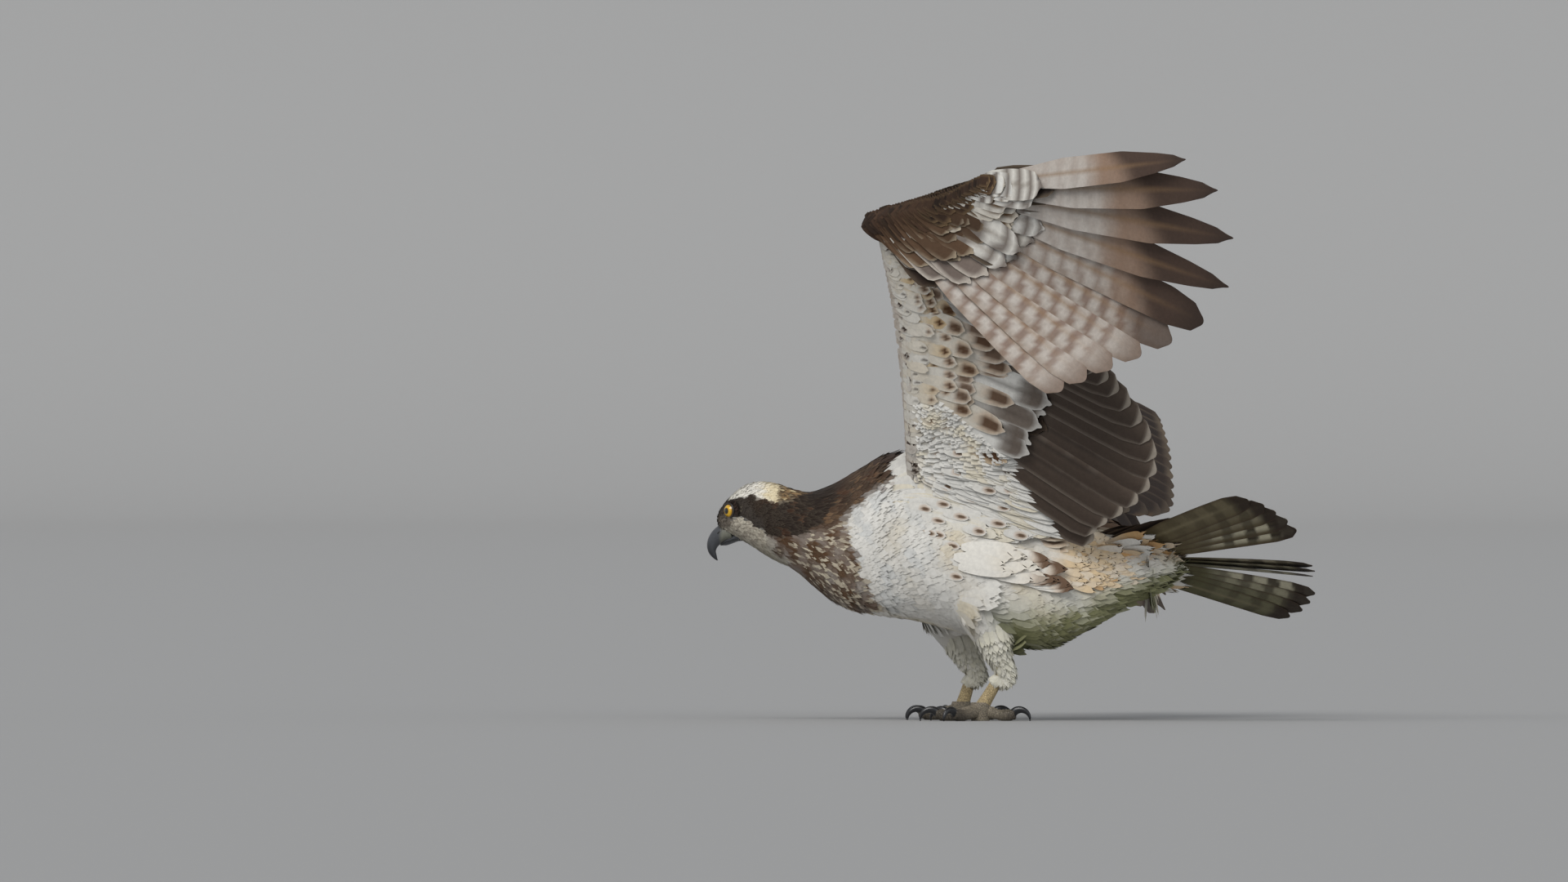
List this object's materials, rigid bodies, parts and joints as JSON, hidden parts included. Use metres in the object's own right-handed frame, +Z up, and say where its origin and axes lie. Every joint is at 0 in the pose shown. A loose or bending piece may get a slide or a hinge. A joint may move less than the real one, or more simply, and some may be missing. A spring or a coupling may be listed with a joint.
{
  "type": "osprey",
  "caption": "Life-size model of an osprey leaning forward with both wings raised high, tail spread behind and feet flat on the ground.",
  "frame": {"origin": "under the middle of the bird's bounding box, at floor level", "axes": "+Z up, bill towards -X, the bird's left side towards -Y"},
  "size_m": [0.5962, 1.101, 0.5478],
  "materials": {
    "head_feathers": "short soft feathers, white crown and cheek with a dark brown eye stripe",
    "neck_feathers": "short feathers, brown mottled with white and cream",
    "body_feathers": "soft body feathers, white below and dark brown on the back",
    "tail_feathers": "stiff vanes, olive brown barred with cream",
    "wing_feathers": "stiff vanes and coverts, brown and white, barred and spotted",
    "leg_feathers": "short dense white feathers",
    "bill": "smooth horn, slate grey to black with a blue-grey cere",
    "eye": "wet glossy yellow iris with a black pupil",
    "leg_scales": "pale grey scaly skin",
    "claw": "smooth black horn"
  },
  "bodies": {
    "root": {"head": "head_feathers", "neck": "neck_feathers", "torso": "body_feathers", "tail": "tail_feathers", "wing_left_arm": "wing_feathers", "wing_left_hand": "wing_feathers", "wing_right_arm": "wing_feathers", "wing_right_hand": "wing_feathers", "thigh_left": "leg_feathers", "thigh_right": "leg_feathers", "bill_upper": "bill", "bill_lower": "bill", "eye_left": "eye", "tarsus_left": "leg_scales", "foot_left": "leg_scales", "claw_left_1": "claw", "claw_left_2": "claw", "claw_left_3": "claw", "claw_left_4": "claw", "eye_right": "eye", "tarsus_right": "leg_scales", "foot_right": "leg_scales", "claw_right_1": "claw", "claw_right_2": "claw", "claw_right_3": "claw", "claw_right_4": "claw"}
  },
  "joints": []
}
